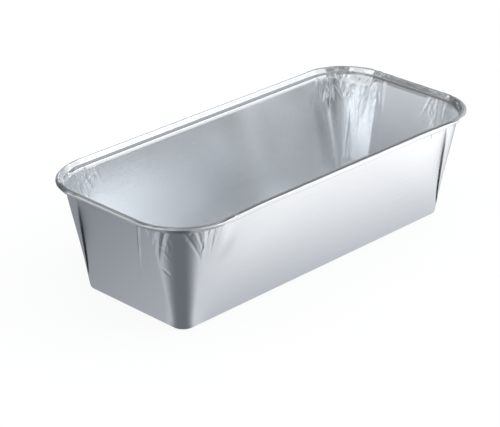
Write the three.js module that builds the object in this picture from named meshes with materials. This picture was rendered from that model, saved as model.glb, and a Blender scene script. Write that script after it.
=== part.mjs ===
// A disposable loaf pan, pressed from one sheet of thin aluminium foil. The walls lean out, the corners
// are cones whose spare foil gathers into pleats below the rim, and the cut edge is rolled into a bead.
// Each zone that the press forms is a closed solid of foil thickness, edge to edge with its neighbours.
// Millimetres, +Z up, +X along the pan, with the origin on the table under the middle of the pan.
import * as THREE from "three";

// Driving dimensions, in millimetres and degrees. Bend radii are measured to the middle of the foil.
const RIM_LENGTH = 230; // over the rolled rim, along X
const RIM_WIDTH = 107.5; // over the rolled rim, along Y
const HEIGHT = 62; // from the table to the top of the rim
const FOIL = 0.1; // thickness of the sheet
const WALL_DRAFT = 11.5; // lean of every wall from upright
const RIM_CORNER_RADIUS = 30; // plan radius of the rim's outer edge
const BASE_CORNER_RADIUS = 6.5; // plan radius where walls and floor would meet without the heel
const HEEL_RADIUS = 3; // bend from the floor to a wall
const FLARE_RADIUS = 7; // soft bend along the top of a wall
const FLARE_DRAFT = 28; // lean of the wall from upright where the flare ends
const LIP_RADIUS = 1; // bend from the flare out to the shoulder under the rim
const SHOULDER_RISE = 25; // slope of the shoulder from level
const SHOULDER_WIDTH = 1.4; // straight part of the shoulder
const VALLEY_RADIUS = 0.6; // bend from the shoulder up to the collar
const COLLAR_LEAN = 28; // lean of the collar from upright
const COLLAR_HEIGHT = 2.2; // straight part of the collar, along its slope
const CREST_RADIUS = 0.5; // bends on both sides of the rim's level top
const CREST_FLAT = 0.4; // level width along the top of the rim
const BEAD_FALL = 40; // slope of the rolled edge's outer face, down from level
const BEAD_SLOPE = 0.8; // straight part of that face
const BEAD_RADIUS = 1.4; // rolled edge
const BEAD_TURN = 180; // how far the edge is rolled round under the rim
const PANEL_INSET = 7; // width of the flat band that the pan stands on
const PANEL_SLOPE = 1.5; // width of the step up to the raised floor panel
const PANEL_RISE = 1; // height of that step
const PANEL_CORNER_RADIUS = 8; // plan radius of the raised panel
const GATHER_MARGIN = 10; // how far the pleats reach past a corner's bend, along the flat walls
const GATHER_DEPTH = 1; // how far a pleat stands out at its top
const GATHER_SHORT = 15; // length of every second pleat
const GATHER_LONG = 24; // length of the pleats between them
const GATHER_BLEND = 2; // height over which a pleat dies out under the lip

// How finely the curves are divided. A pleat is PLEAT_STEPS columns wide.
const PLEAT_STEPS = 4;
const PLEATS_PER_SIDE = 2; // on each side of a corner's smooth middle, within the bend
const ARC_STEPS = PLEAT_STEPS * (2 * PLEATS_PER_SIDE + 1);
const HEEL_STEPS = 3;
const FLARE_STEPS = 2;
const LIP_STEPS = 2;
const VALLEY_STEPS = 2;
const CREST_STEPS = 2;
const BEAD_STEPS = 6;
const GATHER_ROWS = 7;

// Sizes that follow from the driving dimensions.
const draft = THREE.MathUtils.degToRad(WALL_DRAFT);
const down = -Math.PI / 2;
const floorZ = FOIL / 2;
const topZ = HEIGHT - FOIL / 2;
const bendReach = Math.tan(Math.PI / 4 - draft / 2); // tangent length of a wall bend, for a radius of 1
const heelReach = HEEL_RADIUS * bendReach;

// The section through the sheet is a list of points: out is the distance outside the line where wall
// and floor would meet, and tilt is the slope of the outward normal.
function carryOn(section, length) {
  const { out, z, tilt } = section.at(-1);
  section.push({ out: out - length * Math.sin(tilt), z: z + length * Math.cos(tilt), tilt });
}

// A negative radius bends the section outwards.
function turn(section, radius, toTilt, steps) {
  const { out, z, tilt: fromTilt } = section.at(-1);
  for (let step = 1; step <= steps; step++) {
    const tilt = THREE.MathUtils.lerp(fromTilt, toTilt, step / steps);
    section.push({
      out: out + radius * (Math.cos(tilt) - Math.cos(fromTilt)),
      z: z + radius * (Math.sin(tilt) - Math.sin(fromTilt)),
      tilt,
    });
  }
}

function heelProfile() {
  const section = [{ out: -heelReach, z: floorZ, tilt: down }];
  turn(section, HEEL_RADIUS, -draft, HEEL_STEPS);
  return section;
}

// The rim from the top of a wall: flare, lip, shoulder, collar, level crest and rolled edge.
function rimProfile() {
  const section = [{ out: 0, z: 0, tilt: -draft }];
  const fall = down - THREE.MathUtils.degToRad(BEAD_FALL);
  turn(section, -FLARE_RADIUS, -THREE.MathUtils.degToRad(FLARE_DRAFT), FLARE_STEPS);
  turn(section, -LIP_RADIUS, down + THREE.MathUtils.degToRad(SHOULDER_RISE), LIP_STEPS);
  carryOn(section, SHOULDER_WIDTH);
  turn(section, VALLEY_RADIUS, -THREE.MathUtils.degToRad(COLLAR_LEAN), VALLEY_STEPS);
  carryOn(section, COLLAR_HEIGHT);
  turn(section, -CREST_RADIUS, down, CREST_STEPS);
  carryOn(section, CREST_FLAT);
  turn(section, -CREST_RADIUS, fall, CREST_STEPS);
  carryOn(section, BEAD_SLOPE);
  turn(section, -BEAD_RADIUS, fall - THREE.MathUtils.degToRad(BEAD_TURN), BEAD_STEPS);
  return section;
}

function wallPoint(z) {
  return { out: (z - floorZ) * Math.tan(draft), z, tilt: -draft };
}

const heel = heelProfile();
const rim = rimProfile();
const rimRise = Math.max(...rim.map(({ z }) => z));
const rimOverhang = Math.max(...rim.map(({ out }) => out));
const wallTop = wallPoint(topZ - rimRise);
const wallSection = [...heel, wallTop];
const rimSection = rim.map(({ out, z, tilt }) => ({ out: wallTop.out + out, z: wallTop.z + z, tilt }));

// Plan sizes of the line where walls and floor would meet.
const rimReach = wallTop.out + rimOverhang + FOIL / 2;
const halfLength = RIM_LENGTH / 2 - rimReach;
const halfWidth = RIM_WIDTH / 2 - rimReach;
const centreLean = (rimReach - RIM_CORNER_RADIUS + BASE_CORNER_RADIUS) / (topZ - floorZ);

// Plan centre of the corner bends at one height. It moves in as the bends widen towards the rim.
function cornerCentre(z) {
  const inset = BASE_CORNER_RADIUS - centreLean * (z - floorZ);
  return { x: halfLength - inset, y: halfWidth - inset };
}

// A corner's section has extra rows where the pleats are.
function gatherRow(_, row) {
  const drop = THREE.MathUtils.lerp(GATHER_LONG, GATHER_BLEND, row / (GATHER_ROWS - 1));
  return wallPoint(wallTop.z - drop);
}
const gatherRows = Array.from({ length: GATHER_ROWS }, gatherRow);
const cornerSection = [...heel, ...gatherRows, wallTop];

// Stations place a section on the pan. Each takes a section point and returns its place and normal.
function acrossLongWall(signY, xAt) {
  return ({ out, z, tilt }) => ({
    point: new THREE.Vector3(xAt(z), signY * (halfWidth + out), z),
    normal: new THREE.Vector3(0, signY * Math.cos(tilt), Math.sin(tilt)),
  });
}

function acrossEndWall(signX, yAt) {
  return ({ out, z, tilt }) => ({
    point: new THREE.Vector3(signX * (halfLength + out), yAt(z), z),
    normal: new THREE.Vector3(signX * Math.cos(tilt), 0, Math.sin(tilt)),
  });
}

function acrossCorner(signX, signY, angle) {
  const away = new THREE.Vector3(signX * Math.cos(angle), signY * Math.sin(angle), 0);
  return ({ out, z, tilt }) => {
    const centre = cornerCentre(z);
    const radius = halfLength + out - centre.x;
    return {
      point: new THREE.Vector3(signX * centre.x, signY * centre.y, z).addScaledVector(away, radius),
      normal: away.clone().multiplyScalar(Math.cos(tilt)).setZ(Math.sin(tilt)),
    };
  };
}

// Stations run anticlockwise round the pan, seen from above, so that every face points outwards.
function anticlockwise(stations, signX, signY) {
  return signX * signY > 0 ? stations : stations.reverse();
}

function cornerBend(signX, signY) {
  const stations = [];
  for (let step = 0; step <= ARC_STEPS; step++) {
    stations.push(acrossCorner(signX, signY, (step / ARC_STEPS) * (Math.PI / 2)));
  }
  return stations;
}

// Where the flat walls end and the gathered corners begin.
const longWallEnd = cornerCentre(topZ).x - GATHER_MARGIN;
const endWallEnd = cornerCentre(topZ).y - GATHER_MARGIN;

function gatheredCorner(signX, signY) {
  const endMargin = [];
  const longMargin = [];
  for (let step = 0; step < PLEAT_STEPS; step++) {
    const share = step / PLEAT_STEPS;
    const yAt = (z) => signY * THREE.MathUtils.lerp(endWallEnd, cornerCentre(z).y, share);
    const xAt = (z) => signX * THREE.MathUtils.lerp(longWallEnd, cornerCentre(z).x, share);
    endMargin.push(acrossEndWall(signX, yAt));
    longMargin.unshift(acrossLongWall(signY, xAt));
  }
  const stations = [...endMargin, ...cornerBend(signX, signY), ...longMargin];
  const pleated = stations.map((station, column) => {
    const fromEdge = Math.min(column, stations.length - 1 - column);
    return (sectionPoint) => raisePleat(station(sectionPoint), fromEdge);
  });
  return anticlockwise(pleated, signX, signY);
}

// Moves a point of the corner out on to its pleat: a dart, widest at the rim, that narrows downwards.
function raisePleat({ point, normal }, fromEdge) {
  const pleat = Math.floor(fromEdge / PLEAT_STEPS);
  const isSmoothMiddle = pleat > PLEATS_PER_SIDE;
  const length = pleat % 2 === 0 ? GATHER_LONG : GATHER_SHORT;
  const drop = wallTop.z - point.z;
  const opening = 1 - drop / length;
  if (isSmoothMiddle || opening <= 0) {
    return { point, normal };
  }
  const offCentre = Math.abs((fromEdge % PLEAT_STEPS) / (PLEAT_STEPS / 2) - 1);
  const ridge = Math.max(0, 1 - offCentre / opening);
  const blend = Math.min(1, drop / GATHER_BLEND);
  return { point: point.addScaledVector(normal, GATHER_DEPTH * opening * ridge * blend), normal };
}

// A sheet of foil round a grid of middle points, whose columns run round the pan and rows up the section.
// A corner of the mesh is named by its side, 0 outside the pan and 1 inside, and its column and row.
class FoilSheet {
  constructor(grid) {
    this.columns = grid.length;
    this.rows = grid[0].length;
    this.faces = [];
    this.corners = [FOIL / 2, -FOIL / 2].flatMap((offset) =>
      grid.flat().map(({ point, normal }) => point.clone().addScaledVector(normal, offset)),
    );
  }

  at(side, [column, row]) {
    return (side * this.columns + (column % this.columns)) * this.rows + row;
  }

  addQuad(a, b, c, d) {
    this.faces.push(a, b, c, a, c, d);
  }

  addBothSides(spans) {
    for (let column = 0; column < spans; column++) {
      for (let row = 0; row < this.rows - 1; row++) {
        const ring = [
          [column, row],
          [column + 1, row],
          [column + 1, row + 1],
          [column, row + 1],
        ];
        this.addQuad(...ring.map((place) => this.at(0, place)));
        this.addQuad(...ring.reverse().map((place) => this.at(1, place)));
      }
    }
  }

  // Closes a cut edge of the sheet, along a path that keeps the sheet on its left.
  addEdge(path) {
    for (let step = 0; step < path.length - 1; step++) {
      const [from, to] = [path[step], path[step + 1]];
      this.addQuad(this.at(0, from), this.at(1, from), this.at(1, to), this.at(0, to));
    }
  }

  // Fills the level space inside a closed path with fans of both sides, round a middle point.
  addFill(path, centre) {
    const middle = this.corners.length;
    this.corners.push(centre.clone().setZ(centre.z - FOIL / 2), centre.clone().setZ(centre.z + FOIL / 2));
    for (let step = 0; step < path.length - 1; step++) {
      const [from, to] = [path[step], path[step + 1]];
      this.faces.push(middle, this.at(0, to), this.at(0, from));
      this.faces.push(middle + 1, this.at(1, from), this.at(1, to));
    }
  }

  geometry() {
    return new THREE.BufferGeometry().setFromPoints(this.corners).setIndex(this.faces);
  }
}

function countTo(last) {
  return Array.from({ length: last + 1 }, (_, step) => step);
}

function openSheet(grid) {
  const sheet = new FoilSheet(grid);
  const lastColumn = sheet.columns - 1;
  const lastRow = sheet.rows - 1;
  const alongRow = (row) => countTo(lastColumn).map((column) => [column, row]);
  const upColumn = (column) => countTo(lastRow).map((row) => [column, row]);
  sheet.addBothSides(lastColumn);
  sheet.addEdge(alongRow(0));
  sheet.addEdge(upColumn(lastColumn));
  sheet.addEdge(alongRow(lastRow).reverse());
  sheet.addEdge(upColumn(0).reverse());
  return sheet.geometry();
}

// A sheet that runs right round the pan. With a centre it is filled inside its first row.
function loopSheet(grid, centre) {
  const sheet = new FoilSheet(grid);
  const roundRow = (row) => countTo(sheet.columns).map((column) => [column, row]);
  sheet.addBothSides(sheet.columns);
  sheet.addEdge(roundRow(sheet.rows - 1).reverse());
  if (centre) {
    sheet.addFill(roundRow(0), centre);
  } else {
    sheet.addEdge(roundRow(0));
  }
  return sheet.geometry();
}

function alongSection(stations, section) {
  return stations.map((station) => section.map(station));
}

// Every corner of the pan, anticlockwise from the front right, by the signs of its X and Y.
const cornerSigns = {
  front_right: [1, -1],
  rear_right: [1, 1],
  rear_left: [-1, 1],
  front_left: [-1, -1],
};

function longWall(signY) {
  const stations = [-longWallEnd, longWallEnd].map((x) => acrossLongWall(signY, () => -signY * x));
  return openSheet(alongSection(stations, wallSection));
}

function endWall(signX) {
  const stations = [-endWallEnd, endWallEnd].map((y) => acrossEndWall(signX, () => signX * y));
  return openSheet(alongSection(stations, wallSection));
}

function corner(signX, signY) {
  return openSheet(alongSection(gatheredCorner(signX, signY), cornerSection));
}

function rolledRim() {
  const stations = Object.values(cornerSigns).flatMap(([signX, signY]) =>
    anticlockwise(cornerBend(signX, signY), signX, signY),
  );
  return loopSheet(alongSection(stations, rimSection));
}

// One point of a rounded rectangle that lies in from the line where walls and floor would meet.
function floorPoint(signX, signY, angle, inset, radius, z) {
  const x = halfLength - inset - radius + radius * Math.cos(angle);
  const y = halfWidth - inset - radius + radius * Math.sin(angle);
  return { point: new THREE.Vector3(signX * x, signY * y, z), normal: new THREE.Vector3(0, 0, -1) };
}

function floorPanel() {
  const columns = [];
  const bandInset = heelReach + PANEL_INSET;
  for (const [signX, signY] of Object.values(cornerSigns)) {
    const quarter = [];
    for (let step = 0; step <= ARC_STEPS; step++) {
      const angle = (step / ARC_STEPS) * (Math.PI / 2);
      const onEdge = (inset, radius, z) => floorPoint(signX, signY, angle, inset, radius, z);
      quarter.push([
        onEdge(bandInset + PANEL_SLOPE, PANEL_CORNER_RADIUS, floorZ + PANEL_RISE),
        onEdge(bandInset, PANEL_CORNER_RADIUS + PANEL_SLOPE, floorZ),
        onEdge(heelReach, BASE_CORNER_RADIUS - heelReach, floorZ),
      ]);
    }
    columns.push(...anticlockwise(quarter, signX, signY));
  }
  return loopSheet(columns, new THREE.Vector3(0, 0, floorZ + PANEL_RISE));
}

// Finishes: the drawn foil is bright, and the rolled edge is duller.
function foilFinish(roughness) {
  return new THREE.MeshStandardMaterial({ color: 0xc4c8cd, roughness, metalness: 1 });
}
const DRAWN_ROUGHNESS = 0.28;
const ROLLED_ROUGHNESS = 0.4;

function addZone(pan, name, geometry, roughness) {
  const mesh = new THREE.Mesh(geometry, foilFinish(roughness));
  mesh.name = name;
  pan.add(mesh);
}

const pan = new THREE.Group();
addZone(pan, "floor_panel", floorPanel(), DRAWN_ROUGHNESS);
addZone(pan, "front_wall", longWall(-1), DRAWN_ROUGHNESS);
addZone(pan, "rear_wall", longWall(1), DRAWN_ROUGHNESS);
addZone(pan, "left_end_wall", endWall(-1), DRAWN_ROUGHNESS);
addZone(pan, "right_end_wall", endWall(1), DRAWN_ROUGHNESS);
for (const [place, [signX, signY]] of Object.entries(cornerSigns)) {
  addZone(pan, `corner_${place}`, corner(signX, signY), DRAWN_ROUGHNESS);
}
addZone(pan, "rolled_rim", rolledRim(), ROLLED_ROUGHNESS);

export default pan;
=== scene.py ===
import math
import random
from collections import namedtuple

import bmesh
import bpy
from mathutils import Matrix, Vector, noise


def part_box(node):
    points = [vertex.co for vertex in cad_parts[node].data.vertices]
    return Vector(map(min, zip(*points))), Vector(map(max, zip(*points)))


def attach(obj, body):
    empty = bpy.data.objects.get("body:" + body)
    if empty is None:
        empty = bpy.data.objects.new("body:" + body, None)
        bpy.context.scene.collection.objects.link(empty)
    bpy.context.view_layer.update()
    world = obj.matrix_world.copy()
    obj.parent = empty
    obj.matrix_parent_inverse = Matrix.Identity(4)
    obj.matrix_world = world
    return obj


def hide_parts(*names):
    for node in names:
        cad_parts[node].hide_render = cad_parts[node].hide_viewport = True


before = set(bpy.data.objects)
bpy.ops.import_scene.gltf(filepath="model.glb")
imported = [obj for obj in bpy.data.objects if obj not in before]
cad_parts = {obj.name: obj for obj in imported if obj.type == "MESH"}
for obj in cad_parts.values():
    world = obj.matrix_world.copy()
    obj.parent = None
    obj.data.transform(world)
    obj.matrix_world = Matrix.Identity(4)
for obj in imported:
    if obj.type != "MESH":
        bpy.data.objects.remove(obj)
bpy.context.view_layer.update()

# A disposable loaf pan, pressed from one sheet of aluminium foil: a flat floor with a raised panel,
# leaning walls, conical corners where the spare foil gathers, and a rim that ends in a rolled bead.

# Sizes of the sheet, in metres and radians. Bend radii are measured to the middle of the foil. The heel is
# bent tighter here than in the solids, whose own heel says where the floor's edge lies in the frame.
MM = 0.001
FOIL = 0.1 * MM
WALL_DRAFT = math.radians(11.5)
BASE_CORNER_RADIUS = 6.5 * MM
RIM_CORNER_RADIUS = 30 * MM
SOLID_HEEL_RADIUS = 3 * MM
HEEL_RADIUS = 1.5 * MM
FLARE_RADIUS = 7 * MM
FLARE_DRAFT = math.radians(28)
LIP_RADIUS = 1 * MM
SHOULDER_RISE = math.radians(25)
SHOULDER_WIDTH = 1.4 * MM
VALLEY_RADIUS = 0.6 * MM
COLLAR_LEAN = math.radians(28)
COLLAR_HEIGHT = 2.2 * MM
CREST_RADIUS = 0.5 * MM
CREST_FLAT = 0.4 * MM
BEAD_FALL = math.radians(40)
BEAD_SLOPE = 0.8 * MM
BEAD_RADIUS = 1.4 * MM
BEAD_TURN = math.radians(180)
PANEL_INSET = 7 * MM
PANEL_SLOPE = 1.5 * MM
PANEL_RISE = 1 * MM
PANEL_CORNER_RADIUS = 8 * MM
GATHER_MARGIN = 10 * MM

# How finely the sheet is divided.
CORNER_COLUMNS = 130
MARGIN_COLUMNS = 26
LONG_WALL_COLUMNS = 38
END_WALL_COLUMNS = 8
WALL_ROWS = 100
HEEL_ROWS = 10
FLARE_ROWS = 4
LIP_ROWS = 5
SHOULDER_ROWS = 2
VALLEY_ROWS = 5
COLLAR_ROWS = 5
CREST_ROWS = 5
BEAD_SLOPE_ROWS = 3
BEAD_ROWS = 14
FLOOR_RINGS = 6
STEP_RINGS = 6
FLOOR_SEAM = 1 * MM
RIM_SEAM = 0.7 * MM
RIM_CLEAR = 2.2 * MM
WELD = 0.001 * MM

# Sizes that follow from the frame.
rim_corner = Vector(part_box("rolled_rim")[1])
floor_corner = Vector(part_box("floor_panel")[1])
bend_reach = math.tan(math.pi / 4 - WALL_DRAFT / 2)
heel_reach = HEEL_RADIUS * bend_reach
half_length = floor_corner.x + SOLID_HEEL_RADIUS * bend_reach
half_width = floor_corner.y + SOLID_HEEL_RADIUS * bend_reach
floor_z = FOIL / 2
top_z = rim_corner.z - FOIL / 2
rim_reach = rim_corner.x - half_length
wall_slope = math.tan(WALL_DRAFT)
centre_lean = (rim_reach - RIM_CORNER_RADIUS + BASE_CORNER_RADIUS) / (top_z - floor_z)


def bend_rise(radius, heading, new_heading):
    """How far a bend of the section climbs between two headings above level."""
    return radius * abs(math.cos(heading) - math.cos(new_heading))


level = 0
wall_heading = math.pi / 2 - WALL_DRAFT
flare_heading = math.pi / 2 - FLARE_DRAFT
collar_heading = math.pi / 2 - COLLAR_LEAN
flare_rise = bend_rise(FLARE_RADIUS, wall_heading, flare_heading)
lip_rise = bend_rise(LIP_RADIUS, flare_heading, SHOULDER_RISE)
shoulder_rise = SHOULDER_WIDTH * math.sin(SHOULDER_RISE)
valley_rise = bend_rise(VALLEY_RADIUS, SHOULDER_RISE, collar_heading)
collar_rise = COLLAR_HEIGHT * math.sin(collar_heading)
crest_rise = bend_rise(CREST_RADIUS, collar_heading, level)
lip_z = top_z - lip_rise - shoulder_rise - valley_rise - collar_rise - crest_rise
wall_top_z = lip_z - flare_rise
wall_top_out = (wall_top_z - floor_z) * wall_slope
bead_width = BEAD_RADIUS * (1 - math.sin(BEAD_FALL)) + BEAD_SLOPE * math.cos(BEAD_FALL)
crest_out = rim_reach - bead_width - CREST_RADIUS


def bend_radius(z):
    """Plan radius of the corners where the section has no reach of its own."""
    return BASE_CORNER_RADIUS - centre_lean * (z - floor_z)


def corner_centre(z):
    """Plan centre of the corner bends, which moves in as they widen towards the rim."""
    return Vector((half_length - bend_radius(z), half_width - bend_radius(z)))


def reach_of(place):
    """How far a place lies outside the line where walls and floor would meet."""
    beyond = Vector((abs(place.x), abs(place.y))) - corner_centre(place.z)
    if beyond.x > 0 and beyond.y > 0:
        return beyond.length - bend_radius(place.z)
    return max(beyond.x, beyond.y) - bend_radius(place.z)


long_wall_end = corner_centre(top_z).x - GATHER_MARGIN
end_wall_end = corner_centre(top_z).y - GATHER_MARGIN
lip_bend_radius = wall_top_out + bend_radius(wall_top_z)
half_bend = lip_bend_radius * math.pi / 4


# The sheet is modelled as one quarter, which is mirrored.
def bend_on(sheet, start, heading, new_heading, radius, rows):
    """Carries the section on round a bend between two headings above level, and returns its last point."""
    turn = math.copysign(1, new_heading - heading)
    across = Vector((-math.sin(heading), 0, math.cos(heading))) * radius * turn
    turned = bmesh.ops.spin(
        sheet, geom=[start], cent=start.co + across, axis=(0, 1, 0), angle=heading - new_heading, steps=rows
    )
    return turned["geom_last"][0]


def straight_on(sheet, start, heading, length, rows):
    """Carries the section straight on in even rows, and returns its last point."""
    step = Vector((math.cos(heading), 0, math.sin(heading))) * length / rows
    for _ in range(rows):
        start = bmesh.ops.extrude_vert_indiv(sheet, verts=[start])["verts"][0]
        start.co += step
    return start


def draw_section(sheet):
    """The section from the floor's edge, up the wall and round the bead, with x for its reach."""
    last = sheet.verts.new((-heel_reach, 0, floor_z))
    last = bend_on(sheet, last, level, wall_heading, HEEL_RADIUS, HEEL_ROWS)
    wall_length = (wall_top_z - last.co.z) / math.sin(wall_heading)
    last = straight_on(sheet, last, wall_heading, wall_length, WALL_ROWS)
    last = bend_on(sheet, last, wall_heading, flare_heading, FLARE_RADIUS, FLARE_ROWS)
    last = bend_on(sheet, last, flare_heading, SHOULDER_RISE, LIP_RADIUS, LIP_ROWS)
    last = straight_on(sheet, last, SHOULDER_RISE, SHOULDER_WIDTH, SHOULDER_ROWS)
    last = bend_on(sheet, last, SHOULDER_RISE, collar_heading, VALLEY_RADIUS, VALLEY_ROWS)
    last = straight_on(sheet, last, collar_heading, COLLAR_HEIGHT, COLLAR_ROWS)
    last = bend_on(sheet, last, collar_heading, level, CREST_RADIUS, CREST_ROWS)
    last = straight_on(sheet, last, level, CREST_FLAT, 1)
    last = bend_on(sheet, last, level, -BEAD_FALL, CREST_RADIUS, CREST_ROWS)
    last = straight_on(sheet, last, -BEAD_FALL, BEAD_SLOPE, BEAD_SLOPE_ROWS)
    bend_on(sheet, last, -BEAD_FALL, -BEAD_FALL - BEAD_TURN, BEAD_RADIUS, BEAD_ROWS)


def shear(lean_x, lean_y, shift_x, shift_y):
    """A move that grows with height."""
    return Matrix(((1, 0, lean_x, shift_x), (0, 1, lean_y, shift_y), (0, 0, 1, 0), (0, 0, 0, 1)))


def stretch_edge(sheet, edges, axis, end, columns):
    """Draws an edge of the sheet out level to an end place in even columns, and returns the new edge."""
    for column in range(columns):
        grown = bmesh.ops.extrude_edge_only(sheet, edges=edges)["geom"]
        edges = [item for item in grown if isinstance(item, bmesh.types.BMEdge)]
        for vert in (item for item in grown if isinstance(item, bmesh.types.BMVert)):
            vert.co[axis] += (end - vert.co[axis]) / (columns - column)
    return edges


def floor_ring(sheet, edges, old, new, z):
    """Draws the floor's edge in from one rounded rectangle to the next, and returns the new edge."""
    old_centre = ring_centre(*old)
    new_centre = ring_centre(*new)
    radius = new[1]
    grown = bmesh.ops.extrude_edge_only(sheet, edges=edges)["geom"]
    for vert in (item for item in grown if isinstance(item, bmesh.types.BMVert)):
        beyond = vert.co.xy - old_centre
        if beyond.x > 0 and beyond.y > 0:
            spot = new_centre + beyond.normalized() * radius
        elif beyond.x > beyond.y:
            spot = Vector((new_centre.x + radius, vert.co.y * new_centre.y / old_centre.y))
        else:
            spot = Vector((vert.co.x * new_centre.x / old_centre.x, new_centre.y + radius))
        vert.co = (spot.x, spot.y, z)
    return [item for item in grown if isinstance(item, bmesh.types.BMEdge)]


def ring_centre(inset, radius):
    """Plan centre of the corner of a rounded rectangle on the floor."""
    return Vector((half_length - inset - radius, half_width - inset - radius))


def blend(share):
    """Rises smoothly from 0 to 1."""
    share = min(1, max(0, share))
    return share * share * (3 - 2 * share)


def lay_floor(sheet):
    """Fills the floor: a flat band to stand on, a step up, and a raised panel."""
    edges = [edge for edge in sheet.edges if all(vert.co.z < floor_z + WELD for vert in edge.verts)]
    last = (heel_reach, BASE_CORNER_RADIUS - heel_reach)
    rings = [(heel_reach + FLOOR_SEAM, last[1] + FLOOR_SEAM, floor_z)]
    band = heel_reach + PANEL_INSET
    for step in range(STEP_RINGS + 1):
        share = step / STEP_RINGS
        radius = PANEL_CORNER_RADIUS + PANEL_SLOPE * (1 - share)
        rings.append((band + PANEL_SLOPE * share, radius, floor_z + PANEL_RISE * blend(share)))
    panel = band + PANEL_SLOPE
    for step in range(1, FLOOR_RINGS + 1):
        share = step / FLOOR_RINGS
        inset = panel + (half_width - panel) * share
        rings.append((inset, PANEL_CORNER_RADIUS * (1 - share), floor_z + PANEL_RISE))
    for inset, radius, z in rings:
        edges = floor_ring(sheet, edges, last, (inset, radius), z)
        last = (inset, radius)


def build_quarter():
    """A quarter of the sheet: the section spun round a corner and drawn out along both walls."""
    sheet = bmesh.new()
    draw_section(sheet)
    section = shear(-centre_lean, 0, BASE_CORNER_RADIUS + centre_lean * floor_z, 0)
    bmesh.ops.transform(sheet, matrix=section, verts=sheet.verts)
    end_side = sheet.edges[:]
    spun = bmesh.ops.spin(
        sheet,
        geom=sheet.verts[:] + sheet.edges[:],
        cent=(0, 0, 0),
        axis=(0, 0, 1),
        angle=math.pi / 2,
        steps=CORNER_COLUMNS,
    )
    long_side = [item for item in spun["geom_last"] if isinstance(item, bmesh.types.BMEdge)]
    centre = corner_centre(0)
    bmesh.ops.transform(sheet, matrix=shear(centre_lean, centre_lean, *centre), verts=sheet.verts)
    end_side = stretch_edge(sheet, end_side, 1, end_wall_end, MARGIN_COLUMNS)
    stretch_edge(sheet, end_side, 1, 0, END_WALL_COLUMNS)
    long_side = stretch_edge(sheet, long_side, 0, long_wall_end, MARGIN_COLUMNS)
    stretch_edge(sheet, long_side, 0, 0, LONG_WALL_COLUMNS)
    lay_floor(sheet)
    return sheet


def build_sheet():
    """The whole sheet, as the press leaves it before the foil gathers. Its faces point out of the pan."""
    sheet = build_quarter()
    for axis in "XY":
        geometry = sheet.verts[:] + sheet.edges[:] + sheet.faces[:]
        bmesh.ops.mirror(sheet, geom=geometry, matrix=Matrix(), merge_dist=WELD, axis=axis)
    bmesh.ops.remove_doubles(sheet, verts=sheet.verts, dist=WELD)
    bmesh.ops.recalc_face_normals(sheet, faces=sheet.faces)
    floor_face = min(sheet.faces, key=lambda face: face.calc_center_median().length)
    if floor_face.normal.z > 0:
        bmesh.ops.reverse_faces(sheet, faces=sheet.faces)
    return sheet


# How the spare foil gathers. Places on a corner are measured along its lip, from the middle of the corner
# towards the long wall, and down from the lip. Lengths without MM are in millimetres.
Pleat = namedtuple("Pleat", "at lean start length before after height")
Dent = namedtuple("Dent", "at down across tall turn height")
Facet = namedtuple("Facet", "start start_lean end end_lean turn turn_lean top length fade after")
PLEATS = {
    "front_left": [
        Pleat(-6.6, -0.36, -1, 25, 2.2, 3.0, -0.6),
        Pleat(-23.6, -0.3, 0.5, 36, 1.2, 1.2, 0.5),
        Pleat(-18.5, 0.1, -1, 8, 1.0, 1.0, -0.35),
        Pleat(-15.5, -0.3, -1, 9, 1.1, 0.9, -0.4),
        Pleat(-12.5, -0.4, -1, 13, 1.4, 1.4, 0.35),
        Pleat(1.0, 0.6, -1, 22, 2.4, 1.6, -0.32),
        Pleat(5.2, 0.5, -1, 17, 2.2, 1.0, 0.18),
        Pleat(8.0, 0.35, 0, 16, 1.4, 1.0, -0.15),
        Pleat(11.5, 0.1, -1, 24, 3.6, 1.4, 0.38),
        Pleat(14.3, 0.0, -1, 12, 1.0, 1.0, -0.3),
        Pleat(18.6, -0.02, -1, 22, 1.5, 1.5, -0.45),
        Pleat(21.5, -0.1, -1, 10, 1.2, 1.2, 0.25),
    ],
    "rear_right": [
        Pleat(9.5, 0.1, -1, 24, 2.6, 1.8, 0.4),
        Pleat(4.0, -0.35, -1, 12, 1.4, 1.2, 0.25),
        Pleat(-17.5, 0.0, -1, 28, 1.6, 2.2, 0.35),
        Pleat(-25.5, -0.2, -1, 24, 3, 1.5, -0.3),
        Pleat(-8, -0.1, -1, 40, 1.6, 2.0, 0.06),
        Pleat(-12.5, -0.08, -1, 48, 2.4, 1.6, 0.09),
        Pleat(-21, -0.1, 2, 40, 1.8, 2.2, 0.1),
        Pleat(15, 0.25, -1, 15, 1.2, 1.5, -0.25),
    ],
    "rear_left": [
        Pleat(-2, 0.1, -1, 24, 2.2, 2, -0.25),
        Pleat(8, -0.2, -1, 22, 1.8, 1.6, 0.4),
        Pleat(14, 0.1, -1, 30, 1.4, 1.4, -0.4),
        Pleat(20, 0.05, -1, 34, 1.6, 1.6, 0.2),
    ],
    "front_right": [
        Pleat(2, 0.1, -1, 20, 2, 2, -0.2),
        Pleat(-8, 0.15, -1, 20, 1.6, 1.6, 0.4),
        Pleat(11, -0.15, -1, 14, 1.5, 1.5, 0.1),
        Pleat(28, 0.0, -1, 12, 1.3, 1.3, -0.1),
        Pleat(-15, -0.1, -1, 16, 1.6, 1.6, -0.18),
        Pleat(-20, -0.05, -1, 17, 1.6, 1.4, 0.16),
        Pleat(-24.3, -0.5, -1, 20, 1.8, 1.4, 0.18),
    ],
}
DENTS = {
    "front_left": [
        Dent(-10.5, 24.5, 5, 1.5, 25, -0.25),
        Dent(26, 13, 13, 14, 0, 1.0),
    ],
    "rear_right": [Dent(10, 8, 6, 6, 20, 0.4)],
    "rear_left": [],
    "front_right": [],
}
FACETS = {
    "front_left": [],
    "rear_right": [Facet(-22, -0.13, -3.5, -0.115, 17, -0.15, 4, 57, 10, 6)],
    "rear_left": [],
    "front_right": [],
}
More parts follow.
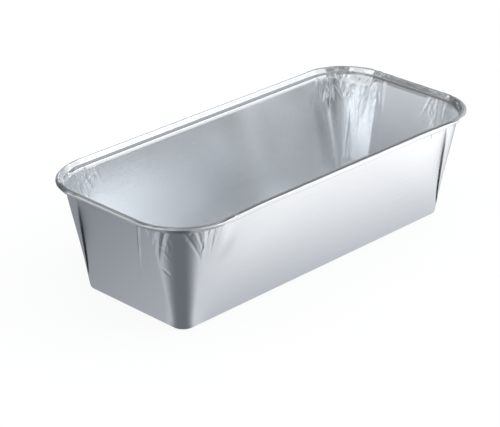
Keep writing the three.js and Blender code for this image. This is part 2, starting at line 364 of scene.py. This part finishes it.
CRINKLE_STRENGTHS = {"front_left": 1, "rear_right": 1.8, "rear_left": 0.9, "front_right": 1}
SWELLS = {"front_left": 1.3, "rear_right": 0, "rear_left": 1.3, "front_right": 1.3}
NICKS = [(-76, -52.5), (113.5, 23), (113.5, 4), (-83.5, 53)]
CRINKLES_PER_CORNER = 34
CRINKLE_SEED = 11
CRINKLE_SPANS = {
    "front_left": (-26, 26),
    "rear_right": (-26, 26),
    "rear_left": (0, 26),
    "front_right": (-26, 0),
}
CRINKLE_LEANS = (-0.6, 0.6)
CRINKLE_STARTS = (-1, 9)
CRINKLE_LENGTHS = (4, 13)
CRINKLE_WIDTHS = (0.8, 1.5)
CRINKLE_HEIGHTS = (0.05, 0.14)
PLEAT_FADE = 0.35
GATHER_FADE = 3
CREASE_SHARPNESS = 1.25
FRONT_BOW = 1.4
BOW_BLEND = 40 * MM
SWELL_DEPTH = 48
WALL_WAVE = 0.22
WALL_WAVE_LENGTH = 48
WAVE_START = 15 * MM
RIM_RIPPLE = 0.05
CORNER_RIPPLE = 0.16
RIPPLE_LENGTH = 4.5
RIPPLE_BLEND = 8
NICK_RADIUS = 1.8
NICK_DEPTH = 0.16
RIM_CRUMPLE = 0.12
CRUMPLE_LENGTH = 1.7
BEAD_TUCK = 0.58
BEAD_TUCK_BLEND = 8 * MM
REAR_DROOP = math.radians(26)
DROOP_BLEND = 20 * MM


def add_crinkles():
    """Adds small seeded creases to the pleats that each corner has."""
    draw = random.Random(CRINKLE_SEED)
    for corner, pleats in PLEATS.items():
        for _ in range(CRINKLES_PER_CORNER):
            at = draw.uniform(*CRINKLE_SPANS[corner])
            lean = draw.uniform(*CRINKLE_LEANS)
            start = draw.uniform(*CRINKLE_STARTS)
            length = draw.uniform(*CRINKLE_LENGTHS)
            width = draw.uniform(*CRINKLE_WIDTHS)
            height = draw.choice([-1, 1]) * draw.uniform(*CRINKLE_HEIGHTS) * CRINKLE_STRENGTHS[corner]
            pleats.append(Pleat(at, lean, start, length, width, width, height))


def gather_place(place):
    """The corner that a place belongs to, how far along its lip it lies, and how far down."""
    face = "front" if place.y < 0 else "rear"
    side = "left" if place.x < 0 else "right"
    beyond = Vector((abs(place.x), abs(place.y))) - corner_centre(place.z)
    if beyond.x > 0 and beyond.y > 0:
        along = (math.atan2(beyond.y, beyond.x) - math.pi / 4) * lip_bend_radius
    elif beyond.x > beyond.y:
        along = beyond.y - half_bend
    else:
        along = half_bend - beyond.x
    return f"{face}_{side}", along / MM, (lip_z - place.z) / MM


def pleat_height(pleat, along, down):
    """How far a pleat moves the foil out. It is sharp at its crease and narrows downwards."""
    share = (down - pleat.start) / pleat.length
    if share < 0 or share > 1:
        return 0
    off = along - pleat.at - pleat.lean * (down - pleat.start)
    width = (pleat.before if off < 0 else pleat.after) * (1 - share / 2)
    if abs(off) >= width:
        return 0
    crease = (1 - abs(off) / width) ** CREASE_SHARPNESS
    return pleat.height * crease * blend((1 - share) / (1 - PLEAT_FADE))


def dent_height(dent, along, down):
    """How far a shallow dent or bulge moves the foil out."""
    turn = math.radians(dent.turn)
    across = (along - dent.at) * math.cos(turn) + (down - dent.down) * math.sin(turn)
    tall = (down - dent.down) * math.cos(turn) - (along - dent.at) * math.sin(turn)
    return dent.height * blend(1 - math.hypot(across / dent.across, tall / dent.tall))


def bend_plan(along, radius):
    """How far a place along a corner lies past the end wall, and how far in from it, seen from above."""
    angle = (along * MM + half_bend) / lip_bend_radius
    if angle < 0:
        return Vector((along * MM + half_bend, 0))
    return Vector((math.sin(angle), 1 - math.cos(angle))) * radius


def facet_depth(facet, along, down, radius):
    """How far a flat facet across a corner lies inside the round corner. It ends in a crease."""
    start = facet.start + facet.start_lean * down
    end = facet.end + facet.end_lean * down
    if along < start:
        return 0
    turn = math.radians(facet.turn + facet.turn_lean * down)
    across = bend_plan(min(along, end), radius) - bend_plan(start, radius)
    depth = max(0, across.x * math.sin(turn) - across.y * math.cos(turn)) / MM
    if along > end:
        depth *= max(0, 1 - (along - end) / facet.after) ** CREASE_SHARPNESS
    return depth * blend(down / facet.top) * blend((facet.length - down) / facet.fade)


def wall_move(place):
    """How far the foil of a wall or corner stands out from where the press left it, in millimetres."""
    corner, along, down = gather_place(place)
    above = max(0, -down)
    gathered = sum(pleat_height(pleat, along, max(down, 0)) for pleat in PLEATS[corner])
    gathered += sum(dent_height(dent, along, max(down, 0)) for dent in DENTS[corner])
    wave = WALL_WAVE * noise.noise(place / (WALL_WAVE_LENGTH * MM))
    radius = bend_radius(place.z) + (place.z - floor_z) * wall_slope
    gathered -= sum(facet_depth(facet, along, max(down, 0), radius) for facet in FACETS[corner])
    swell = SWELLS[corner] * blend(1 - abs(along) * MM / half_bend) * blend(1 - max(down, 0) / SWELL_DEPTH)
    waved = wave * blend((place.z - floor_z) / WAVE_START)
    return gathered * blend(1 - above / GATHER_FADE) + swell + waved


def rim_move(place):
    """How far the foil of the rim stands out from where the press left it, in millimetres."""
    along = gather_place(place)[1]
    at_corner = blend((half_bend / MM + RIPPLE_BLEND - abs(along)) / RIPPLE_BLEND)
    ripple = RIM_RIPPLE + (CORNER_RIPPLE - RIM_RIPPLE) * at_corner
    moved = ripple * noise.noise(place / (RIPPLE_LENGTH * MM))
    for x, y in NICKS:
        off = math.hypot(place.x / MM - x, place.y / MM - y)
        moved -= NICK_DEPTH * blend(1 - off / NICK_RADIUS)
    at_right = blend((place.x - corner_centre(top_z).x) / (2 * GATHER_MARGIN))
    return moved + RIM_CRUMPLE * at_right * noise.noise(place / (CRUMPLE_LENGTH * MM))


def tuck_bead(sheet):
    """Presses the rolled edge flatter round the corners, where its foil is gathered."""
    for vert in sheet.verts:
        past_crest = reach_of(vert.co) > crest_out and vert.co.z > wall_top_z
        if past_crest:
            along = abs(gather_place(vert.co)[1]) * MM
            at_corner = blend((half_bend + BEAD_TUCK_BLEND - along) / (2 * BEAD_TUCK_BLEND))
            vert.co.z = top_z - (top_z - vert.co.z) * (1 - BEAD_TUCK * at_corner)


def droop_rear(sheet):
    """Bends the outer edge of the rear rim down a little, round to its left end."""
    for vert in sheet.verts:
        past = reach_of(vert.co) - crest_out + CREST_FLAT
        if past > 0 and vert.co.z > wall_top_z and vert.co.y > 0:
            to_right = blend((long_wall_end + DROOP_BLEND - vert.co.x) / DROOP_BLEND)
            to_front = blend((vert.co.y - end_wall_end) / DROOP_BLEND)
            vert.co.z -= past * math.tan(REAR_DROOP) * to_right * to_front


def bow_of(place):
    """How the front wall bows in between its corners, most at the rim."""
    if place.y > 0:
        return Vector()
    along = blend((long_wall_end + BOW_BLEND / 2 - abs(place.x)) / BOW_BLEND)
    up = blend((place.z - floor_z) / (top_z - floor_z))
    return Vector((0, FRONT_BOW * MM * along * up, 0))


def gather_foil(sheet):
    """Moves the foil in and out along its normals, from the pressed shape to the gathered one."""
    sheet.normal_update()
    moves = []
    for vert in sheet.verts:
        place = vert.co
        if reach_of(place) < -heel_reach / 2:
            continue
        on_rim = blend((place.z - lip_z) / (valley_rise + shoulder_rise + lip_rise))
        if reach_of(place) > (place.z - floor_z) * wall_slope + RIM_CLEAR:
            on_rim = 1
        moved = 0
        if on_rim < 1:
            moved += wall_move(place) * (1 - on_rim)
        if on_rim > 0:
            moved += rim_move(place) * on_rim
        moves.append((vert, vert.normal * moved * MM))
    for vert, move in moves:
        vert.co += move + bow_of(vert.co)


def blank_place(place):
    """Where a place on the pressed pan lay on the flat blank, with its walls folded down."""
    beyond = Vector((abs(place.x), abs(place.y))) - corner_centre(place.z)
    reach = reach_of(place)
    outward = Vector((1, 0)) if beyond.x > beyond.y else Vector((0, 1))
    if beyond.x > 0 and beyond.y > 0:
        outward = beyond.normalized()
    if reach < 0:
        outward = Vector((0, 0))
    flat = Vector((abs(place.x), abs(place.y))) + outward * (place.z - floor_z - reach * wall_slope)
    return flat.x * math.copysign(1, place.x), flat.y * math.copysign(1, place.y)


def map_blank(sheet):
    """Lays the map of the flat blank on the sheet, which its finish follows."""
    blank = sheet.loops.layers.uv.new("blank")
    for vert in sheet.verts:
        spot = blank_place(vert.co)
        for loop in vert.link_loops:
            loop[blank].uv = spot


def zone_of(place):
    """Which zone of the pan a place on the sheet belongs to."""
    reach = reach_of(place)
    if reach < -heel_reach - FLOOR_SEAM:
        return "floor_panel"
    if place.z > wall_top_z - RIM_SEAM or reach > (place.z - floor_z) * wall_slope + RIM_SEAM:
        return "rolled_rim"
    side = "left" if place.x < 0 else "right"
    face = "front" if place.y < 0 else "rear"
    past_long_wall = abs(place.x) > long_wall_end
    past_end_wall = abs(place.y) > end_wall_end
    if past_long_wall and past_end_wall:
        return f"corner_{face}_{side}"
    return f"{side}_end_wall" if past_long_wall else f"{face}_wall"


def cut_zones(sheet, zones, finishes):
    """Makes each zone of the sheet its own piece of foil thickness."""
    for zone in dict.fromkeys(zones):
        part = sheet.copy()
        part.faces.ensure_lookup_table()
        others = [face for face, name in zip(part.faces, zones) if name != zone]
        bmesh.ops.delete(part, geom=others, context="FACES")
        for edge in part.edges:
            edge.smooth = not edge.is_boundary
        for face in part.faces:
            face.smooth = True
        mesh = bpy.data.meshes.new(f"{zone}_foil")
        part.to_mesh(mesh)
        part.free()
        piece = bpy.data.objects.new(f"{zone}_foil", mesh)
        bpy.context.scene.collection.objects.link(piece)
        for finish in finishes:
            mesh.materials.append(finish)
        thickness = piece.modifiers.new("foil thickness", "SOLIDIFY")
        thickness.thickness = FOIL
        thickness.offset = 0
        thickness.material_offset = 1
        thickness.material_offset_rim = 0
        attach(piece, "root")
        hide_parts(zone)


# Finish of the foil. The rolling direction of the sheet lies along the pan and up its ends.
BRIGHT_COLOUR = (0.88, 0.9, 0.93, 1)
BRIGHT_ROUGHNESS = 0.16
SATIN_COLOUR = (0.938, 0.957, 0.972, 1)
SATIN_ROUGHNESS = 0.22
STREAK_STRETCH = 0.03
STREAK_SCALE = 900.0
STREAK_DETAIL = 4.0
STREAK_DARK = 0.96
STREAK_LIGHT = 1.03
STREAK_ROUGHNESS = 0.06
STREAK_RELIEF = 0.3
DIMPLE_SCALE = 350.0
DIMPLE_DETAIL = 2.0
RELIEF_STRENGTH = 0.05
RELIEF_DEPTH = 0.2 * MM


# Shading nodes. Arithmetic on a socket adds Math nodes.
class Socket:
    """The value that a node gives out."""

    def __init__(self, tree, socket):
        self.tree = tree
        self.socket = socket

    def maths(self, operation, first, second):
        return self.tree.node("ShaderNodeMath", {"operation": operation}, {0: first, 1: second})

    def __add__(self, other):
        return self.maths("ADD", self, other)

    def __sub__(self, other):
        return self.maths("SUBTRACT", self, other)

    def __rsub__(self, other):
        return self.maths("SUBTRACT", other, self)

    def __mul__(self, other):
        return self.maths("MULTIPLY", self, other)

    def __truediv__(self, other):
        return self.maths("DIVIDE", self, other)

    def __pow__(self, other):
        return self.maths("POWER", self, other)

    __radd__ = __add__
    __rmul__ = __mul__


class Shading:
    """The nodes of one material or of the sky."""

    def __init__(self, owner):
        owner.use_nodes = True
        self.nodes = owner.node_tree.nodes
        self.links = owner.node_tree.links
        self.nodes.clear()

    def node(self, kind, settings, inputs, output=0):
        """Adds a node: its settings first, then the values or links of its sockets."""
        node = self.nodes.new(kind)
        for name, value in settings.items():
            setattr(node, name, value)
        for key, value in inputs.items():
            if isinstance(value, Socket):
                self.links.new(value.socket, node.inputs[key])
            else:
                node.inputs[key].default_value = value
        if not node.outputs:
            return None
        return Socket(self, node.outputs[output])


def grain(shading, place, scale, detail):
    """Fine noise over the sheet."""
    return shading.node("ShaderNodeTexNoise", {}, {"Vector": place, "Scale": scale, "Detail": detail})


def mix_colours(shading, share, first, second):
    """The first colour where the share is 0, and the second where it is 1."""
    return shading.node("ShaderNodeMix", {"data_type": "RGBA"}, {0: share, 6: first, 7: second}, 2)


def scaled(shading, colour, light):
    """A colour made lighter or darker."""
    return shading.node("ShaderNodeVectorMath", {"operation": "SCALE"}, {0: colour, "Scale": light})


def foil_finish(name, colour, roughness):
    """Rolled foil: streaks along the rolling direction of the sheet, and a faint grain."""
    material = bpy.data.materials.new(name)
    shading = Shading(material)
    place = shading.node("ShaderNodeUVMap", {"uv_map": "blank"}, {})
    stretched = shading.node("ShaderNodeMapping", {}, {"Vector": place, "Scale": (STREAK_STRETCH, 1, 1)})
    streak = grain(shading, stretched, STREAK_SCALE, STREAK_DETAIL)
    dimple = grain(shading, place, DIMPLE_SCALE, DIMPLE_DETAIL)
    dark = tuple(share * STREAK_DARK for share in colour)
    light = tuple(share * STREAK_LIGHT for share in colour)
    rolled = mix_colours(shading, streak, dark, light)
    height = streak * STREAK_RELIEF + dimple
    depths = {"Strength": RELIEF_STRENGTH, "Distance": RELIEF_DEPTH, "Height": height}
    relief = shading.node("ShaderNodeBump", {}, depths)
    foil = shading.node(
        "ShaderNodeBsdfPrincipled",
        {},
        {
            "Base Color": rolled,
            "Metallic": 1.0,
            "Roughness": roughness + (streak - 0.5) * STREAK_ROUGHNESS,
            "Normal": relief,
        },
    )
    shading.node("ShaderNodeOutputMaterial", {}, {"Surface": foil})
    return material


# The studio: a white table and a soft sky. Only the foil's reflections show the painted light and shade on
# the table, which has sectors of painted shade, dark strips of painted shade and a painted shadow towards
# the pan's foot, and the patches of the sky. Sectors and patches are in degrees, strips in millimetres.
# Sectors of painted shade on the table, where the pan's shadow and a dark room would lie; only the foil
# sees them.
ShadeSector = namedtuple("ShadeSector", "corner angle spread softness shade")
Strip = namedtuple("Strip", "x y angle length width shade")
SkyPatch = namedtuple("SkyPatch", "angle height spread softness shade")
# Dark strips of painted shade on the table, which the foil reflects as black slits at its corners.
PAINTED_SHADE_STRIPS = [
    Strip(-117, 68, 135, 68, 15, 0.01),
    Strip(131, -59, -47, 84, 15, 0.01),
]
STRIP_EDGE = 0.4
TABLE_REACH = 3
TABLE_GAP = 0.2 * MM
TABLE_COLOUR = (0.9, 0.9, 0.9, 1)
TABLE_LIGHT = 1.03
TABLE_GLOW = 0.85
# The tint of the painted shade on the table, which turns cooler as it darkens.
COOL_PAINTED_SHADE = (0.9, 0.98, 1.08, 1)
WHITE = (1, 1, 1, 1)
PAPER_LIGHT = 1.08
# Painted light on the table, lighter towards the right and its right end, seen only in the foil's
# reflections.
RIGHTWARD_PAINTED_LIGHT = 0.12
RIGHTWARD_SPAN = (-60 * MM, 150 * MM)
RIGHT_END_PAINTED_LIGHT = 0.15
RIGHT_END_SPAN = (80 * MM, 150 * MM)
# A painted shadow on the table, darker towards the pan's foot, seen only in the foil's reflections.
FOOT_PAINTED_SHADE = 0.62
FOOT_SPAN = (-half_width - 75 * MM, -half_width + 25 * MM)
# The left sector of painted shade, which darkens further towards the rear.
LEFT_SHADE_SECTOR_LIGHT = 0.48
REARWARD_PAINTED_SHADE = 0.18
REARWARD_SPAN = (-60 * MM, 90 * MM)
SKY_COLOUR = (0.97, 0.99, 1.02)
SKY_LIGHT = 0.85
SKY_LOSS_IN_FOIL = 0.08
SKY_PATCHES = [
    SkyPatch(25, 45, 42, 10, 0.45),
    SkyPatch(70, 45, 30, 10, 0.18),
    SkyPatch(-24, 42, 14, 6, 0.1),
    SkyPatch(114, 40, 12, 5, 0.33),
    SkyPatch(139, 25, 9, 3, 0.05),
    SkyPatch(126, 27, 6, 4, 1.3),
    SkyPatch(134, 4, 10, 5, 0.42),
    SkyPatch(98, 8, 24, 13, 0.1),
    SkyPatch(-130, 68, 22, 5, 0.18),
    SkyPatch(-138, 32, 9.5, 3.5, 0.2),
    SkyPatch(-101, 26, 9, 4, 0.12),
    SkyPatch(46, 18, 16, 5, 0.33),
    SkyPatch(-60, 18, 26, 10, 0.93),
    SkyPatch(-48, 34, 8.5, 3.5, 2.5),
    SkyPatch(10, 23, 14, 5, 0.58),
    SkyPatch(-18, 19.5, 6, 3, 3.4),
    SkyPatch(169, 16, 10, 5, 0.98),
    SkyPatch(64, 12, 4, 3, 1.1),
    SkyPatch(165, 26, 5, 3, 1.3),
    SkyPatch(-152, 32, 5, 3, 1.5),
    SkyPatch(-127, 13, 7, 4, 0.12),
    SkyPatch(6, 7, 5, 3, 0.1),
    SkyPatch(70, 65, 6.5, 3.5, 0.55),
    SkyPatch(-122, 42, 8, 4, 0.2),
    SkyPatch(140, 13, 6, 3, 0.35),
    SkyPatch(-144, 10, 5, 4, 0.68),
    SkyPatch(73, 16, 5, 3, 1.2),
]


def compass(angle, height=0):
    """A direction, in degrees anticlockwise from +X and above level."""
    level = math.cos(math.radians(height))
    turn = math.radians(angle)
    return Vector((level * math.cos(turn), level * math.sin(turn), math.sin(math.radians(height))))


def smooth_step(shading, value, low, high):
    """Rises smoothly from 0 to 1 between two values."""
    settings = {"interpolation_type": "SMOOTHSTEP"}
    return shading.node("ShaderNodeMapRange", settings, {"Value": value, "From Min": low, "From Max": high})


def within(shading, facing, spread, softness):
    """1 within an angle of a direction and 0 outside it, from the cosine of the angle."""
    low = math.cos(math.radians(spread + softness))
    high = math.cos(math.radians(max(0, spread - softness)))
    return smooth_step(shading, facing, low, high)


def painted_shade_sector(shading, x, y, shade_sector):
    """1 inside a sector of painted shade on the table that opens out from a corner of the pan, and 0
    outside it.
    """
    ahead = compass(shade_sector.angle)
    off_x = x - shade_sector.corner[0]
    off_y = y - shade_sector.corner[1]
    distance = (off_x * off_x + off_y * off_y) ** 0.5
    return within(shading, (off_x * ahead.x + off_y * ahead.y) / distance, shade_sector.spread, shade_sector.softness)


def painted_shade_strip(shading, x, y, strip):
    """1 in the middle of a long oval strip of painted shade on the table, and 0 outside it."""
    ahead = compass(strip.angle)
    off_x = x - strip.x * MM
    off_y = y - strip.y * MM
    along = (off_x * ahead.x + off_y * ahead.y) / (strip.length / 2 * MM)
    across = (off_y * ahead.x - off_x * ahead.y) / (strip.width / 2 * MM)
    return smooth_step(shading, 1 - along * along - across * across, 0, STRIP_EDGE)


def shade_towards(value, shade, share):
    """The value where the share is 0, and the shade where it is 1."""
    return value * (1 - share) + share * shade


def lay_table():
    plane = bmesh.new()
    bmesh.ops.create_grid(plane, x_segments=1, y_segments=1, size=TABLE_REACH)
    bmesh.ops.translate(plane, vec=(0, 0, -TABLE_GAP), verts=plane.verts)
    mesh = bpy.data.meshes.new("table")
    plane.to_mesh(mesh)
    plane.free()
    table = bpy.data.objects.new("table", mesh)
    bpy.context.scene.collection.objects.link(table)
    mesh.materials.append(table_finish())


def painted_table_reflection(shading, x, y):
    """How light the foil sees the table: painted light and shade, with a painted shadow that falls off
    towards the pan's foot.
    """
    base = ring_centre(0, BASE_CORNER_RADIUS)
    front_left = (-base.x, -base.y)
    front_right = (base.x, -base.y)
    # Painted shadow towards the pan's foot.
    painted_foot_shade = smooth_step(shading, y, *FOOT_SPAN)
    rearwards = smooth_step(shading, y, *REARWARD_SPAN)
    rightwards = smooth_step(shading, x, *RIGHTWARD_SPAN)
    right_end = smooth_step(shading, x, *RIGHT_END_SPAN)
    # Sectors of painted shade on the table, seen only in the foil's reflections.
    shade_sectors = [
        ShadeSector(front_left, 120, 58, 10, LEFT_SHADE_SECTOR_LIGHT - rearwards * REARWARD_PAINTED_SHADE),
        ShadeSector(front_left, 157, 14, 9, 0.53),
        ShadeSector(front_left, 285, 25, 22, 0.68),
        ShadeSector(front_left, 219, 45, 33, 0.17),
        ShadeSector(front_right, 66, 52, 12, 0.15),
    ]
    light = PAPER_LIGHT + rightwards * RIGHTWARD_PAINTED_LIGHT + right_end * RIGHT_END_PAINTED_LIGHT - painted_foot_shade * FOOT_PAINTED_SHADE
    for shade_sector in shade_sectors:
        light = shade_towards(light, shade_sector.shade, painted_shade_sector(shading, x, y, shade_sector))
    for strip in PAINTED_SHADE_STRIPS:
        light = shade_towards(light, strip.shade, painted_shade_strip(shading, x, y, strip))
    return light


def table_finish():
    """White paper, which glows to the camera and to the foil and keeps some of the pan's shadow. The glow
    that the foil sees carries painted light and shade.
    """
    material = bpy.data.materials.new("white table")
    shading = Shading(material)
    to_camera = shading.node("ShaderNodeLightPath", {}, {}, "Is Camera Ray")
    to_foil = shading.node("ShaderNodeLightPath", {}, {}, "Is Glossy Ray")
    place = shading.node("ShaderNodeTexCoord", {}, {}, "Object")
    x = shading.node("ShaderNodeSeparateXYZ", {}, {"Vector": place}, "X")
    y = shading.node("ShaderNodeSeparateXYZ", {}, {"Vector": place}, "Y")
    # The camera sees the table evenly white; the foil sees its painted light and shade.
    light = shade_towards(TABLE_LIGHT, painted_table_reflection(shading, x, y), to_foil)
    colour = mix_colours(shading, light, COOL_PAINTED_SHADE, WHITE)
    paper = shading.node("ShaderNodeBsdfDiffuse", {}, {"Color": TABLE_COLOUR})
    glow = shading.node("ShaderNodeEmission", {}, {"Color": scaled(shading, colour, light)})
    glowing = to_camera * TABLE_GLOW + to_foil
    mixed = shading.node("ShaderNodeMixShader", {}, {0: glowing, 1: paper, 2: glow})
    shading.node("ShaderNodeOutputMaterial", {}, {"Surface": mixed})
    return material


def patch_of_sky(shading, direction, patch):
    """1 inside a round patch of the sky, and 0 outside it."""
    settings = {"operation": "DOT_PRODUCT"}
    centre = tuple(compass(patch.angle, patch.height))
    facing = shading.node("ShaderNodeVectorMath", settings, {0: direction, 1: centre}, "Value")
    return within(shading, facing, patch.spread, patch.softness)


def light_sky():
    world = bpy.data.worlds.new("studio")
    bpy.context.scene.world = world
    shading = Shading(world)
    to_foil = shading.node("ShaderNodeLightPath", {}, {}, "Is Glossy Ray")
    direction = shading.node("ShaderNodeTexCoord", {}, {}, "Generated")
    light = SKY_LIGHT - to_foil * SKY_LOSS_IN_FOIL
    for patch in SKY_PATCHES:
        share = patch_of_sky(shading, direction, patch)
        light = shade_towards(light, patch.shade, share * to_foil)
    sky = shading.node("ShaderNodeBackground", {}, {"Color": scaled(shading, SKY_COLOUR, light)})
    shading.node("ShaderNodeOutputWorld", {}, {"Surface": sky})


def hang_softbox(name, angle, height, distance, size, power):
    lamp = bpy.data.lights.new(name, "AREA")
    lamp.shape = "SQUARE"
    lamp.size = size
    lamp.energy = power
    softbox = bpy.data.objects.new(name, lamp)
    softbox.visible_glossy = False
    away = compass(angle, height)
    turn = away.to_track_quat("Z", "Y").to_matrix().to_4x4()
    softbox.matrix_world = Matrix.Translation(away * distance) @ turn
    bpy.context.scene.collection.objects.link(softbox)


# The camera, fitted to the outlines of the pan in the photograph.
CAMERA_AZIMUTH = math.radians(-45.146)
CAMERA_ELEVATION = math.radians(25.216)
CAMERA_ROLL = math.radians(-0.336)
CAMERA_DISTANCE = 1024.37 * MM
CAMERA_AIM = Vector((-10.11, 4.07, 21.63)) * MM
SENSOR_WIDTH = 36
FOCAL_PIXELS = 1949.47
PICTURE_WIDTH = 500


def set_camera():
    right = Vector((math.cos(CAMERA_AZIMUTH), math.sin(CAMERA_AZIMUTH), 0))
    level = Vector((math.sin(CAMERA_AZIMUTH), -math.cos(CAMERA_AZIMUTH), 0)) * math.cos(CAMERA_ELEVATION)
    back = level + Vector((0, 0, math.sin(CAMERA_ELEVATION)))
    up = back.cross(right)
    turned_right = right * math.cos(CAMERA_ROLL) + up * math.sin(CAMERA_ROLL)
    turned_up = up * math.cos(CAMERA_ROLL) - right * math.sin(CAMERA_ROLL)
    data = bpy.data.cameras.new("camera")
    data.sensor_width = SENSOR_WIDTH
    data.lens = SENSOR_WIDTH * FOCAL_PIXELS / PICTURE_WIDTH
    camera = bpy.data.objects.new("camera", data)
    turn = Matrix((turned_right, turned_up, back)).transposed().to_4x4()
    camera.matrix_world = Matrix.Translation(CAMERA_AIM + back * CAMERA_DISTANCE) @ turn
    bpy.context.scene.collection.objects.link(camera)
    bpy.context.scene.camera = camera


bright = foil_finish("bright foil", BRIGHT_COLOUR, BRIGHT_ROUGHNESS)
satin = foil_finish("satin foil", SATIN_COLOUR, SATIN_ROUGHNESS)
pan = build_sheet()
zones = [zone_of(face.calc_center_median()) for face in pan.faces]
add_crinkles()
map_blank(pan)
tuck_bead(pan)
droop_rear(pan)
gather_foil(pan)
cut_zones(pan, zones, [bright, satin])
pan.free()
lay_table()
light_sky()
hang_softbox("front right softbox", angle=-50, height=50, distance=1.2, size=0.7, power=3)
set_camera()
bpy.context.scene.view_settings.view_transform = "Standard"
